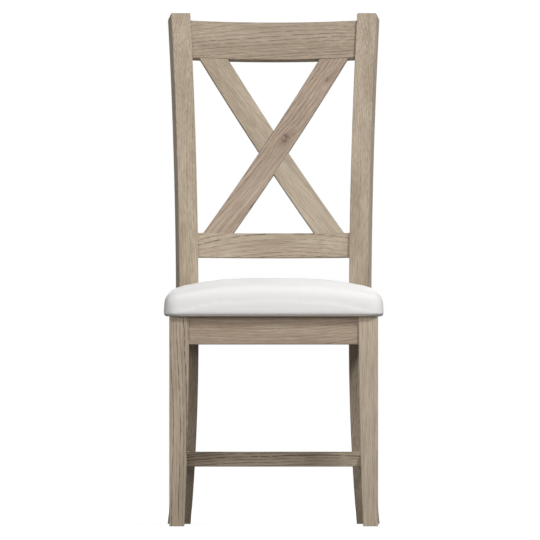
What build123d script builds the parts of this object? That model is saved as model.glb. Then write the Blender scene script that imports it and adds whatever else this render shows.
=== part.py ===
from build123d import *
import os
from math import asin, atan, atan2, cos, degrees, hypot, radians, sin, sqrt, tan

# Upholstered cross-back dining chair, all sizes in millimetres.
# X runs to the right of someone who looks at the front, Y to the back and Z up.
# The legs and rails are drawn with the front legs' faces at Y = 0. The last step
# moves everything so that the floor point under the middle is the origin.

# Rear legs, one curved piece each from the floor to the top of the back.
CHAIR_HEIGHT = 1050.0
REAR_LEG_WIDTH = 40.0
REAR_LEG_DEPTH = 44.0
REAR_LEG_TURN = 9.5
REAR_LEG_WAIST = 396.0
REAR_LEG_TOP_SETBACK = 106.0
REAR_LEG_FOOT_SETBACK = 101.0
REAR_LEG_GAP = 307.6

# Front legs, square, with straight outer faces and tapered inner faces.
FRONT_LEG_SPREAD = 425.0
FRONT_LEG_SIZE = 40.0
FRONT_LEG_FOOT = 30.5
FRAME_DEPTH = 396.0

# Seat frame.
SEAT_RAIL_TOP = 427.0
SEAT_RAIL_HEIGHT = 57.0
SEAT_RAIL_THICKNESS = 21.0
RAIL_INSET = 6.0

# Stretchers near the floor.
STRETCHER_BOTTOM = 120.0
STRETCHER_HEIGHT = 30.5
STRETCHER_THICKNESS = 20.0
CROSS_STRETCHER_PLACE = 0.46

# Rails and cross of the back.
BACK_INSET = 9.0
CREST_HEIGHT = 80.0
CREST_THICKNESS = 21.0
CREST_DROP = 15.2
LOWER_RAIL_HEIGHT = 50.0
LOWER_RAIL_THICKNESS = 21.0
LOWER_RAIL_CENTRE = 573.2
BRACE_WIDTH = 50.0
BRACE_THICKNESS = 17.0
BRACE_INSET = 1.2
BRACE_TOP_SPREAD = 248.0
BRACE_FOOT_SPREAD = 229.0
BRACE_SAG = 3.0
LAP_GAP = 0.1

# Joints and edges.
EDGE_EASE = 1.2
TENON_THICKNESS = 8.0
TENON_SHOULDER = 7.0
SEAT_TENON = 20.0
STRETCHER_TENON = 15.0
CROSS_TENON = 11.0
GLUE_GAP = 0.15
MORTISE_END_GAP = 1.5
RAIL_DOWEL_DIAMETER = 10.0
RAIL_DOWEL_DEPTH = 24.0
CREST_DOWEL_PITCH = 40.0
LOWER_DOWEL_PITCH = 24.0
BRACE_DOWEL_DIAMETER = 8.0
BRACE_DOWEL_DEPTH = 18.0
BRACE_DOWEL_PITCH = 18.0
DOWEL_BEVEL = 1.0
ROUND_SIDE_COUNT = 10

# Corner blocks and their screws.
BLOCK_HEIGHT = 40.0
BLOCK_WIDTH = 25.0
BLOCK_BELOW_TOP = 3.0
BLOCK_LEG_GAP = 2.5
BLOCK_SEAT = 10.0
SCREW_DIAMETER = 4.0
SCREW_HEAD_DIAMETER = 8.0
SCREW_HEAD_HEIGHT = 2.8
SCREW_BITE = 13.0
SCREW_HOLE_GAP = 0.2
SINK_DIAMETER = 11.0
SEAT_SCREW_BITE = 9.0

# Seat pad: plywood board, foam and cover.
PAD_WIDTH = 452.0
PAD_REAR_WIDTH = 411.0
PAD_OVERHANG = 12.0
PAD_CROWN_TOP = 506.0
PAD_LENGTH_CROWN = 12.0
PAD_SIDE_CROWN = 17.5
PAD_SIDE_ROUND_WIDTH = 24.5
PAD_SIDE_ROUND_HEIGHT = 28.0
PAD_FRONT_ROUND = 30.0
PAD_REAR_ROUND = 22.0
PAD_CORNER_ROUND = 30.0
PAD_BOTTOM_ROUND = 5.0
PAD_SIDE_DRAW = 2.0
PAD_ROUND_STEPS = 6
PAD_MIDDLE_STEPS = 6
PAD_FLAT_COUNT = 4
PAD_POST_GAP = 2.5
COVER_THICKNESS = 1.2
COVER_TURN_UNDER = 50.0
PAD_FIT = 0.3
BOARD_THICKNESS = 12.0
DUST_COVER_THICKNESS = 0.8
DUST_COVER_GAP = 2.0
STAPLE_CROWN = 10.0
STAPLE_LEG = 7.0
STAPLE_WIRE = 0.7
STAPLE_INSET = 8.0
FRONT_STAPLE_COUNT = 5
SIDE_STAPLE_COUNT = 4
REAR_STAPLE_COUNT = 4

UP = Vector(0, 0, 1)
OVERRUN = 9.0


def eased(edges):
    """Break the given sharp edges of a piece as a sanding block would."""
    return chamfer(edges, EDGE_EASE)


def other_side(shape):
    """The same piece on the other side of the chair."""
    return mirror(shape, about=Plane.YZ)


def round_section(diameter):
    """Section of a dowel, a screw or its hole: these repeat, so a few flats stand for the circle."""
    return RegularPolygon(diameter / 2, ROUND_SIDE_COUNT)


# Rear leg: two arcs that meet upright at the waist, drawn in the leg's own plane.
# The plane is turned about the vertical, so the face looks a little inwards.
turn = radians(REAR_LEG_TURN)
leg_back = Vector(-sin(turn), cos(turn), 0)
leg_in = Vector(cos(turn), sin(turn), 0)
leg_inner = Vector(-REAR_LEG_GAP / 2, FRAME_DEPTH, 0)
leg_outer = leg_inner - leg_in * REAR_LEG_WIDTH
top_rise = CHAIR_HEIGHT - REAR_LEG_WAIST
upper_radius = (top_rise**2 + REAR_LEG_TOP_SETBACK**2) / (2 * REAR_LEG_TOP_SETBACK)
lower_radius = (REAR_LEG_WAIST**2 + REAR_LEG_FOOT_SETBACK**2) / (2 * REAR_LEG_FOOT_SETBACK)


def setback(height):
    """How far the rear leg's front face stands behind its waist at a height."""
    rise = height - REAR_LEG_WAIST
    radius = upper_radius if rise > 0 else lower_radius
    return radius - sqrt(radius**2 - rise**2)


def lean(height):
    """Angle of the rear leg from upright at a height above the waist."""
    return asin((height - REAR_LEG_WAIST) / upper_radius)


def leg_front(height, across):
    """Point on the left rear leg's front face, across its width from the outer edge."""
    return leg_outer + leg_in * across + leg_back * setback(height) + UP * height


def rear_leg_blank():
    """The left rear leg before its mortises and dowel holes are cut.

    It is drawn a little too long, its edges are eased and the foot is then sawn flat."""
    top = lean(CHAIR_HEIGHT)
    drop = REAR_LEG_WAIST + OVERRUN
    spare_front = lower_radius - sqrt(lower_radius**2 - drop**2)
    spare_rear = lower_radius - sqrt((lower_radius - REAR_LEG_DEPTH) ** 2 - drop**2)
    waist_front = (0, REAR_LEG_WAIST)
    waist_rear = (REAR_LEG_DEPTH, REAR_LEG_WAIST)
    top_front = (REAR_LEG_TOP_SETBACK, CHAIR_HEIGHT)
    top_rear = (
        REAR_LEG_TOP_SETBACK + REAR_LEG_DEPTH * cos(top),
        CHAIR_HEIGHT - REAR_LEG_DEPTH * sin(top),
    )
    outline = [
        TangentArc(waist_front, top_front, tangent=(0, 1)),
        Line(top_front, top_rear),
        TangentArc(waist_rear, top_rear, tangent=(0, 1)),
        TangentArc(waist_rear, (spare_rear, -OVERRUN), tangent=(0, -1)),
        Line((spare_rear, -OVERRUN), (spare_front, -OVERRUN)),
        TangentArc(waist_front, (spare_front, -OVERRUN), tangent=(0, -1)),
    ]
    side = Plane(origin=leg_outer, x_dir=leg_back, z_dir=leg_in)
    blank = extrude(side * make_face(outline), REAR_LEG_WIDTH)
    blank = eased(blank.edges().filter_by(lambda e: e.bounding_box().max.Z > 0))
    return split(blank, Plane.XY, keep=Keep.TOP)


taper_in = FRONT_LEG_SIZE - FRONT_LEG_FOOT
taper_radius = (SEAT_RAIL_TOP**2 + taper_in**2) / (2 * taper_in)


def front_leg_width(height):
    """Width of a front leg at a height: its inner faces are flat arcs that start at the top."""
    return FRONT_LEG_SIZE - taper_radius + sqrt(taper_radius**2 - (SEAT_RAIL_TOP - height) ** 2)


def leg_profile(outer):
    """One side of a front leg: straight on the outer edge, curved in to the foot on the inner."""
    top_outer = (outer, SEAT_RAIL_TOP)
    top_inner = (outer + FRONT_LEG_SIZE, SEAT_RAIL_TOP)
    foot_inner = (outer + FRONT_LEG_FOOT, 0)
    outline = [
        Line((outer, 0), top_outer),
        Line(top_outer, top_inner),
        TangentArc(top_inner, foot_inner, tangent=(0, -1)),
        Line(foot_inner, (outer, 0)),
    ]
    return make_face(outline)


def front_leg_blank():
    """The left front leg: the part common to its front profile and its side profile."""
    face = extrude(Plane.XZ * leg_profile(-FRONT_LEG_SPREAD / 2), -FRONT_LEG_SIZE)
    flank = extrude(Plane.YZ * leg_profile(0), -FRONT_LEG_SPREAD)
    blank = face & flank
    return eased(blank.edges().filter_by(lambda e: e.length > 2 * FRONT_LEG_SIZE))


def plain_bar(start, end, thickness, bottom, height):
    """A straight bar with eased edges that runs past its two shoulders, and its frame."""
    run = end - start
    frame = Plane(origin=start + UP * (bottom + height / 2), x_dir=UP, z_dir=run)
    bar = extrude(frame.offset(-OVERRUN) * Rectangle(height, thickness), run.length + 2 * OVERRUN)
    return eased(bar.edges().filter_by(Axis(start, run))), frame


def straight_rail(start, end, thickness, bottom, height, tenon, shoulder, faces):
    """A straight rail with a round-ended tenon at each end, sawn to the faces that it meets.

    Start and end are the middle of its shoulders. The rail and the cutter for its
    mortises are given back."""
    length = (end - start).length
    body, frame = plain_bar(start, end, thickness, bottom, height)
    for face in faces:
        body = split(body, face, keep=Keep.TOP)
    tall = height - 2 * shoulder
    tongue = extrude(frame.offset(-tenon) * SlotOverall(tall, TENON_THICKNESS), length + 2 * tenon)
    deep = tenon + MORTISE_END_GAP
    slot = SlotOverall(tall + 2 * GLUE_GAP, TENON_THICKNESS + 2 * GLUE_GAP)
    cutter = extrude(frame.offset(-deep) * slot, length + 2 * deep)
    return body + tongue, cutter


def facing(face):
    """The matching face on the other side of the chair."""
    normal = face.z_dir
    return Plane(
        origin=(-face.origin.X, face.origin.Y, face.origin.Z),
        z_dir=(-normal.X, normal.Y, normal.Z),
    )


rear_leg = rear_leg_blank()
front_leg = front_leg_blank()
leg_inner_face = Plane(origin=leg_inner, z_dir=leg_in)

# Seat frame: front and rear rails run straight across, side rails close in to the back.
rail_middle = RAIL_INSET + SEAT_RAIL_THICKNESS / 2
rail_bottom = SEAT_RAIL_TOP - SEAT_RAIL_HEIGHT
front_shoulder = Vector(-FRONT_LEG_SPREAD / 2 + FRONT_LEG_SIZE, rail_middle, 0)
front_shoulder_face = Plane(origin=front_shoulder, z_dir=(1, 0, 0))
front_seat_rail, front_rail_mortise = straight_rail(
    front_shoulder,
    Vector(-front_shoulder.X, front_shoulder.Y, 0),
    SEAT_RAIL_THICKNESS,
    rail_bottom,
    SEAT_RAIL_HEIGHT,
    SEAT_TENON,
    TENON_SHOULDER,
    [front_shoulder_face, facing(front_shoulder_face)],
)
rear_shoulder = leg_inner + leg_back * (REAR_LEG_DEPTH - rail_middle)
rear_seat_rail, rear_rail_mortise = straight_rail(
    rear_shoulder,
    Vector(-rear_shoulder.X, rear_shoulder.Y, 0),
    SEAT_RAIL_THICKNESS,
    rail_bottom,
    SEAT_RAIL_HEIGHT,
    SEAT_TENON,
    TENON_SHOULDER,
    [leg_inner_face, facing(leg_inner_face)],
)
side_start = Vector(-FRONT_LEG_SPREAD / 2 + rail_middle, FRONT_LEG_SIZE, 0)
side_end = leg_outer + leg_in * rail_middle
left_seat_rail, side_rail_mortise = straight_rail(
    side_start,
    side_end,
    SEAT_RAIL_THICKNESS,
    rail_bottom,
    SEAT_RAIL_HEIGHT,
    SEAT_TENON,
    TENON_SHOULDER,
    [Plane(origin=side_start, z_dir=(0, 1, 0)), Plane(origin=side_end, z_dir=-leg_back)],
)

# Stretchers: one on each side from leg to leg, and one across between them.
stretcher_middle = STRETCHER_BOTTOM + STRETCHER_HEIGHT / 2
low_width = front_leg_width(stretcher_middle)
stretcher_shoulder = (STRETCHER_HEIGHT - TENON_THICKNESS) / 5
low_start = Vector(-FRONT_LEG_SPREAD / 2 + low_width / 2, low_width, 0)
low_end = leg_front(stretcher_middle, REAR_LEG_WIDTH / 2) - UP * stretcher_middle
foot_lean = asin((REAR_LEG_WAIST - stretcher_middle) / lower_radius)
foot_taper = asin((SEAT_RAIL_TOP - stretcher_middle) / taper_radius)
low_front_face = Plane(
    origin=low_start + UP * stretcher_middle,
    z_dir=(0, cos(foot_taper), -sin(foot_taper)),
)
low_rear_face = Plane(
    origin=low_end + UP * stretcher_middle,
    z_dir=-leg_back * cos(foot_lean) - UP * sin(foot_lean),
)
left_side_stretcher, stretcher_mortise = straight_rail(
    low_start,
    low_end,
    STRETCHER_THICKNESS,
    STRETCHER_BOTTOM,
    STRETCHER_HEIGHT,
    STRETCHER_TENON,
    stretcher_shoulder,
    [low_front_face, low_rear_face],
)
low_run = (low_end - low_start).normalized()
low_inward = Vector(low_run.Y, -low_run.X, 0)
cross_start = low_start + (low_end - low_start) * CROSS_STRETCHER_PLACE
cross_start = cross_start + low_inward * (STRETCHER_THICKNESS / 2)
cross_end = Vector(-cross_start.X, cross_start.Y, 0)
cross_face = Plane(origin=cross_start, z_dir=low_inward)
cross_stretcher, cross_mortise = straight_rail(
    cross_start,
    cross_end,
    STRETCHER_THICKNESS,
    STRETCHER_BOTTOM,
    STRETCHER_HEIGHT,
    CROSS_TENON,
    stretcher_shoulder,
    [cross_face, facing(cross_face)],
)
left_side_stretcher = left_side_stretcher - cross_mortise


class BackFrame:
    """A leaning frame of the back: X across, Y square to the lean and Z up the lean.

    It stands on the rear legs' inner front edges at one height. A bow is the arc
    whose ends meet the turned legs squarely and whose middle stands farther back."""

    def __init__(self, height, inset, pitch):
        edge = leg_inner + leg_back * (setback(height) + inset) + UP * height
        self.half = -edge.X
        self.pitch = pitch
        self.radius = self.half / sin(turn)
        self.hollow = self.radius * cos(turn)
        self.up = Vector(0, sin(pitch), cos(pitch))
        self.back = Vector(0, cos(pitch), -sin(pitch))
        self.origin = Vector(0, edge.Y, edge.Z)
        self.plane = Plane(origin=self.origin, x_dir=(1, 0, 0), z_dir=self.up)

    def depth(self, across):
        """How far the front of the bow stands behind its ends."""
        return sqrt(self.radius**2 - across**2) - self.hollow

    def bow(self, thickness, inset, reach, height):
        """A bowed board of a thickness, reaching past its ends, centred on the frame."""
        near = self.radius + inset
        far = near + thickness
        ends = []
        for radius in (near, far):
            ends.append((reach, sqrt(radius**2 - reach**2) - self.hollow))
        middle_near = (0, near - self.hollow)
        middle_far = (0, far - self.hollow)
        outline = [
            ThreePointArc((-ends[0][0], ends[0][1]), middle_near, ends[0]),
            Line(ends[0], ends[1]),
            ThreePointArc(ends[1], middle_far, (-ends[1][0], ends[1][1])),
            Line((-ends[1][0], ends[1][1]), (-ends[0][0], ends[0][1])),
        ]
        board = self.plane.offset(-height / 2) * make_face(outline)
        return extrude(board, height, dir=self.up)


def leg_pitch(height):
    """Lean of the back at a height, seen from the side of the chair."""
    return atan(tan(lean(height)) * cos(turn))


def dowel(middle, along, diameter, depth):
    """A dowel, centred where two pieces meet, with bevelled ends, and the cutter for its holes."""
    frame = Plane(origin=middle - along * depth, z_dir=along)
    pin = extrude(frame * round_section(diameter), 2 * depth)
    ends = pin.faces().filter_by(Plane(origin=middle, z_dir=along))
    pin = chamfer(ends.edges(), DOWEL_BEVEL)
    deep = depth + MORTISE_END_GAP
    start = Plane(origin=middle - along * deep, z_dir=along)
    hole = extrude(start * round_section(diameter + 2 * GLUE_GAP), 2 * deep)
    return pin, hole


def bowed_rail(frame, height, thickness, pitch):
    """A bowed rail between the rear legs with its dowels, and the cutter for their holes."""
    board = frame.bow(thickness, 0, frame.half + OVERRUN, height)
    arcs = board.edges().filter_by(GeomType.CIRCLE)
    rail = split(eased(arcs), leg_inner_face, keep=Keep.TOP)
    rail = split(rail, facing(leg_inner_face), keep=Keep.TOP)
    pins = []
    holes = []
    for step in (-pitch / 2, pitch / 2):
        place = frame.origin + frame.up * step
        joint = leg_inner + leg_back * (setback(place.Z) + BACK_INSET + thickness / 2)
        pin, hole = dowel(joint + UP * place.Z, leg_in, RAIL_DOWEL_DIAMETER, RAIL_DOWEL_DEPTH)
        pins += [pin, other_side(pin)]
        holes += [hole, other_side(hole)]
    return rail, pins, holes


# Crest rail and lower back rail: bowed boards set back from the legs' faces and doweled.
crest_tilt = leg_pitch(CHAIR_HEIGHT - CREST_DROP - CREST_HEIGHT / 2)
crest_centre = CHAIR_HEIGHT - CREST_DROP - cos(crest_tilt) * CREST_HEIGHT / 2
crest_frame = BackFrame(crest_centre, BACK_INSET, leg_pitch(crest_centre))
lower_frame = BackFrame(LOWER_RAIL_CENTRE, BACK_INSET, leg_pitch(LOWER_RAIL_CENTRE))
crest_rail, crest_pins, crest_holes = bowed_rail(
    crest_frame, CREST_HEIGHT, CREST_THICKNESS, CREST_DOWEL_PITCH
)
lower_rail, lower_pins, lower_holes = bowed_rail(
    lower_frame, LOWER_RAIL_HEIGHT, LOWER_RAIL_THICKNESS, LOWER_DOWEL_PITCH
)

# Cross of the back: two bowed braces, sawn to a slight sag, halved into each other.
crest_foot = crest_frame.origin - crest_frame.up * (CREST_HEIGHT / 2)
lower_head = lower_frame.origin + lower_frame.up * (LOWER_RAIL_HEIGHT / 2)
cross_rise = crest_foot - lower_head
cross_pitch = atan2(cross_rise.Y, cross_rise.Z)
cross_height = hypot(cross_rise.Y, cross_rise.Z)
cross_middle = (crest_foot.Z + lower_head.Z) / 2
cross_frame = BackFrame(cross_middle, BACK_INSET, cross_pitch)
cross_frame.origin = (crest_foot + lower_head) * 0.5
cross_frame.plane = Plane(origin=cross_frame.origin, x_dir=(1, 0, 0), z_dir=cross_frame.up)


def brace_outline():
    """Outline of the falling brace in the cross frame: a band along a flat arc, drawn over-long."""
    head = Vector(-BRACE_TOP_SPREAD / 2, cross_height / 2)
    foot = Vector(BRACE_FOOT_SPREAD / 2, -cross_height / 2)
    chord = foot - head
    radius = (chord.length**2 / 4 + BRACE_SAG**2) / (2 * BRACE_SAG)
    rise = Vector(-chord.Y, chord.X).normalized()
    centre = (head + foot) * 0.5 + rise * (radius - BRACE_SAG)
    swing = degrees(asin((chord.length / 2 + BRACE_WIDTH) / radius))
    first = degrees(atan2(-rise.Y, -rise.X)) - swing
    inner = CenterArc(centre, radius - BRACE_WIDTH / 2, first, 2 * swing)
    outer = CenterArc(centre, radius + BRACE_WIDTH / 2, first, 2 * swing)
    return make_face([inner, Line(inner @ 1, outer @ 1), outer, Line(outer @ 0, inner @ 0)])


def half_space(frame, rise, side):
    """A large block above or below a level of a leaning frame."""
    size = 4 * REAR_LEG_GAP
    block = Box(size, size, size, align=(Align.CENTER, Align.CENTER, Align.MIN if side > 0 else Align.MAX))
    return frame.plane.offset(rise) * block


brace_front = Plane(origin=cross_frame.origin, x_dir=(1, 0, 0), z_dir=-cross_frame.back)
brace_bar = extrude(brace_front * brace_outline(), REAR_LEG_GAP / 2, both=True)
brace_board = cross_frame.bow(BRACE_THICKNESS, BRACE_INSET, cross_frame.half, 2 * cross_height)
brace_blank = brace_bar & brace_board
brace_long = brace_blank.edges().filter_by(lambda e: e.length > cross_height)
brace_blank = eased(brace_long)
above = half_space(crest_frame, -CREST_HEIGHT / 2, 1)
below = half_space(lower_frame, LOWER_RAIL_HEIGHT / 2, -1)
falling_blank = brace_blank - above - below
rising_blank = other_side(falling_blank)
lap_front = cross_frame.bow(
    BRACE_THICKNESS / 2 + LAP_GAP / 2, BRACE_INSET, cross_frame.half, cross_height
)
lap_back = cross_frame.bow(
    BRACE_THICKNESS / 2 + LAP_GAP / 2,
    BRACE_INSET + BRACE_THICKNESS / 2 - LAP_GAP / 2,
    cross_frame.half,
    cross_height,
)
falling_lap = brace_bar & lap_back
rising_lap = other_side(brace_bar) & lap_front
falling_brace = falling_blank - rising_lap
rising_brace = rising_blank - falling_lap

# Brace dowels: two at each end of each brace, up the lean into the rails.
brace_pins = []
brace_holes = []
for frame, level, spread, side in (
    (crest_frame, -CREST_HEIGHT / 2, BRACE_TOP_SPREAD, 1),
    (lower_frame, LOWER_RAIL_HEIGHT / 2, BRACE_FOOT_SPREAD, -1),
):
    slope = (BRACE_TOP_SPREAD + BRACE_FOOT_SPREAD) / (2 * cross_height)
    middle = spread / 2 - BRACE_DOWEL_DEPTH / 2 * slope
    for step in (-BRACE_DOWEL_PITCH / 2, BRACE_DOWEL_PITCH / 2):
        across = middle + step
        deep = cross_frame.depth(across) + BRACE_INSET + BRACE_THICKNESS / 2
        place = frame.origin + frame.up * level + frame.back * deep + Vector(-across, 0, 0)
        pin, hole = dowel(place, cross_frame.up, BRACE_DOWEL_DIAMETER, BRACE_DOWEL_DEPTH)
        brace_pins += [pin, other_side(pin)]
        brace_holes += [hole, other_side(hole)]

crest_rail = crest_rail - crest_holes - brace_holes
lower_rail = lower_rail - lower_holes - brace_holes
falling_brace = falling_brace - brace_holes
rising_brace = rising_brace - brace_holes

left_rear_leg = rear_leg - side_rail_mortise - rear_rail_mortise - stretcher_mortise
left_rear_leg = left_rear_leg - crest_holes - lower_holes
left_front_leg = front_leg - side_rail_mortise - front_rail_mortise - stretcher_mortise


# Corner blocks: set across each inner corner of the seat frame, clear of the leg.
side_run = (side_end - side_start).normalized()
side_inward = Vector(side_run.Y, -side_run.X, 0)
inner_start = side_start + side_inward * (SEAT_RAIL_THICKNESS / 2)
front_inner_y = RAIL_INSET + SEAT_RAIL_THICKNESS
rear_inner_y = rear_shoulder.Y - SEAT_RAIL_THICKNESS / 2


def inner_side_x(y):
    """Where the left side rail's inner face stands at a depth."""
    return inner_start.X + side_run.X / side_run.Y * (y - inner_start.Y)


def screw(seat, along, length, head_height):
    """A wood screw with a bevelled pan head that sits on a seat and a shank that runs along a line."""
    frame = Plane(origin=seat, z_dir=along)
    shank = extrude(frame * round_section(SCREW_DIAMETER), length)
    head = extrude(frame * round_section(SCREW_HEAD_DIAMETER), -head_height)
    top = head.faces().sort_by(Axis(seat, along))[0]
    return chamfer(top.edges(), head_height / 2) + shank


def corner_block(corner, run, leg_corner):
    """A block across a corner of the frame with its three screws.

    The corner is where the two inner faces meet and run goes along the side rail.
    It gives back the block, the two rail screws, the seat screw and the rail pilots."""
    across = Vector(1, 0, 0)
    spare = leg_corner - corner
    near = abs(spare.X) + abs(spare.Y) + BLOCK_LEG_GAP
    far = near + BLOCK_WIDTH * sqrt(2)
    top = SEAT_RAIL_TOP - BLOCK_BELOW_TOP
    points = []
    for direction, reach in ((across, near), (across, far), (run, far), (run, near)):
        point = corner + direction * reach
        points.append((point.X, point.Y))
    plan = make_face(Polyline(*points, close=True))
    block = extrude(Plane.XY.offset(top - BLOCK_HEIGHT) * plan, BLOCK_HEIGHT)
    level = UP * (top - BLOCK_HEIGHT / 2)
    rail_screws = []
    pilots = []
    for direction, inward in ((across, run), (run, across)):
        square = inward - direction * inward.dot(direction)
        square = square.normalized()
        foot = corner + direction * ((near + far) / 2) + level
        seat = foot + square * BLOCK_SEAT
        rail_screws.append(screw(seat, -square, BLOCK_SEAT + SCREW_BITE, SCREW_HEAD_HEIGHT))
        sink = extrude(Plane(origin=seat, z_dir=square) * round_section(SINK_DIAMETER), far)
        bore = round_section(SCREW_DIAMETER + 2 * SCREW_HOLE_GAP)
        block = block - sink - extrude(Plane(origin=seat, z_dir=-square) * bore, BLOCK_SEAT)
        pilot = extrude(Plane(origin=foot, z_dir=-square) * round_section(SCREW_DIAMETER), SCREW_BITE)
        pilots.append(pilot)
    middle = corner + (across + run) * ((near + far) / 4)
    seat = middle + UP * (top - BLOCK_HEIGHT)
    bite = BLOCK_HEIGHT + BLOCK_BELOW_TOP + COVER_THICKNESS + SEAT_SCREW_BITE
    seat_screw = screw(seat, UP, bite, SCREW_HEAD_HEIGHT)
    bore = round_section(SCREW_DIAMETER + 2 * SCREW_HOLE_GAP)
    block = block - extrude(Plane(origin=seat, z_dir=UP) * bore, BLOCK_HEIGHT)
    return block, rail_screws, seat_screw, pilots


front_corner = Vector(inner_side_x(front_inner_y), front_inner_y, 0)
rear_corner = Vector(inner_side_x(rear_inner_y), rear_inner_y, 0)
front_leg_corner = Vector(-FRONT_LEG_SPREAD / 2 + FRONT_LEG_SIZE, FRONT_LEG_SIZE, 0)
front_block, front_screws, front_seat_screw, front_pilots = corner_block(
    front_corner, side_run, front_leg_corner
)
rear_block, rear_screws, rear_seat_screw, rear_pilots = corner_block(rear_corner, -side_run, leg_inner)
left_pilots = front_pilots + rear_pilots
right_pilots = [other_side(pilot) for pilot in left_pilots]
left_seat_rail = left_seat_rail - left_pilots
front_seat_rail = front_seat_rail - left_pilots - right_pilots
rear_seat_rail = rear_seat_rail - left_pilots - right_pilots
left_screws = front_screws + rear_screws
block_screws = left_screws + [other_side(item) for item in left_screws]
seat_screws = [front_seat_screw, rear_seat_screw]
seat_screws += [other_side(item) for item in seat_screws]

# Seat pad: crowned both ways, drawn in along its sides, cut out round the rear legs.
pad_front = -PAD_OVERHANG
pad_rear = (leg_inner + leg_back * REAR_LEG_DEPTH).Y
pad_middle = (pad_front + pad_rear) / 2
pad_half_length = (pad_rear - pad_front) / 2


def falling_away(depth, radius):
    """Drop of a rounded edge at a depth behind its face."""
    if depth >= radius:
        return 0.0
    return radius - sqrt(radius**2 - (radius - depth) ** 2)


def in_flats(curve, share):
    """Points at even steps over the first share of a curve, without the last one."""
    return [curve @ (share * step / PAD_FLAT_COUNT) for step in range(PAD_FLAT_COUNT)]


def pad_section(y, inset):
    """Cross section of the pad at a depth, set in by a wall: its arcs are drawn in a few flats."""
    front_depth = y - pad_front - inset
    rear_depth = pad_rear - inset - y
    share = (y - pad_middle) / pad_half_length
    taper = (PAD_WIDTH - PAD_REAR_WIDTH) / 4 * share
    draw = PAD_SIDE_DRAW * (1 - share**2)
    side = (PAD_WIDTH + PAD_REAR_WIDTH) / 4 - taper - draw - inset
    half = side - falling_away(front_depth, PAD_CORNER_ROUND)
    fall = falling_away(front_depth, PAD_FRONT_ROUND) / PAD_FRONT_ROUND
    fall = max(fall, falling_away(rear_depth, PAD_REAR_ROUND) / PAD_REAR_ROUND)
    edge_round = PAD_FRONT_ROUND if front_depth < rear_depth else PAD_REAR_ROUND
    top = PAD_CROWN_TOP - inset - PAD_LENGTH_CROWN * share**2 - edge_round * 0.93 * fall
    bottom = SEAT_RAIL_TOP + inset
    curve_top = top - PAD_SIDE_CROWN * (1 - 0.55 * fall)
    curve_half = half - PAD_SIDE_ROUND_WIDTH * (1 - 0.6 * fall)
    side_top = curve_top - PAD_SIDE_ROUND_HEIGHT * (1 - 0.62 * fall)
    corner = PAD_BOTTOM_ROUND
    low_edge = TangentArc((half - corner, bottom), (half, bottom + corner), tangent=(1, 0))
    shoulder = TangentArc((half, side_top), (curve_half, curve_top), tangent=(0, 1))
    crown = ThreePointArc((curve_half, curve_top), (0, top), (-curve_half, curve_top))
    right = in_flats(low_edge, 1) + [low_edge @ 1] + in_flats(shoulder, 1) + in_flats(crown, 0.5)
    left = [Vector(-point.X, point.Y) for point in reversed(right)]
    outline = Polyline(*right, (0, top), *left, close=True)
    return Plane(origin=(0, y, 0), x_dir=(1, 0, 0), z_dir=(0, -1, 0)) * make_face(outline)


def post_cut(gap):
    """The corner cut out of the pad round the left rear leg, with a gap to the leg."""
    corner = leg_inner - leg_back * gap + leg_in * gap
    frame = Plane(origin=corner + UP * rail_bottom, x_dir=leg_back, z_dir=UP)
    reach = 3 * REAR_LEG_DEPTH
    prism = frame * Box(reach, reach, CHAIR_HEIGHT / 2, align=(Align.MIN, Align.MIN, Align.MIN))
    return prism


def round_stations(radius):
    """Depths of the sections through a rounded end, evenly spread over its quarter arc."""
    swings = [radians(90 * step / PAD_ROUND_STEPS) for step in range(PAD_ROUND_STEPS + 1)]
    return [radius * (1 - cos(swing)) for swing in swings]


def pad_form(inset):
    """The pad's closed form, set in by a wall: sections from nose to tail, cut round both rear legs."""
    first = pad_front + inset
    last = pad_rear - inset
    nose = [first + depth for depth in round_stations(PAD_FRONT_ROUND)]
    tail = [last - depth for depth in reversed(round_stations(PAD_REAR_ROUND))]
    span = tail[0] - nose[-1]
    middle = [nose[-1] + span * step / PAD_MIDDLE_STEPS for step in range(1, PAD_MIDDLE_STEPS)]
    form = loft([pad_section(y, inset) for y in nose + middle + tail], ruled=True)
    cut = post_cut(PAD_POST_GAP + inset)
    return form - cut - other_side(cut)


wall = COVER_THICKNESS + PAD_FIT
board_bottom = SEAT_RAIL_TOP + wall
board_top = board_bottom + BOARD_THICKNESS
pad_core = pad_form(wall)
seat_foam = split(pad_core, Plane.XY.offset(board_top), keep=Keep.TOP)
seat_board = split(pad_core, Plane.XY.offset(board_top), keep=Keep.BOTTOM)


def pad_plan(inset):
    """Plan of the pad's underside, set in and cut round the rear legs, as a low prism."""
    front_half = PAD_WIDTH / 2 - inset
    rear_half = PAD_REAR_WIDTH / 2 - inset
    first = pad_front + inset
    last = pad_rear - inset
    plan = make_face(
        Polyline(
            (-front_half, first),
            (front_half, first),
            (rear_half, last),
            (-rear_half, last),
            close=True,
        )
    )
    plan = fillet(plan.vertices().sort_by(Axis.Y)[:2], PAD_CORNER_ROUND)
    prism = extrude(Plane.XY.offset(rail_bottom) * plan, board_top - rail_bottom)
    cut = post_cut(PAD_POST_GAP + inset)
    return prism - cut - other_side(cut)


seat_cover = pad_form(0) - pad_form(COVER_THICKNESS) - pad_plan(COVER_TURN_UNDER)

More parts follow.
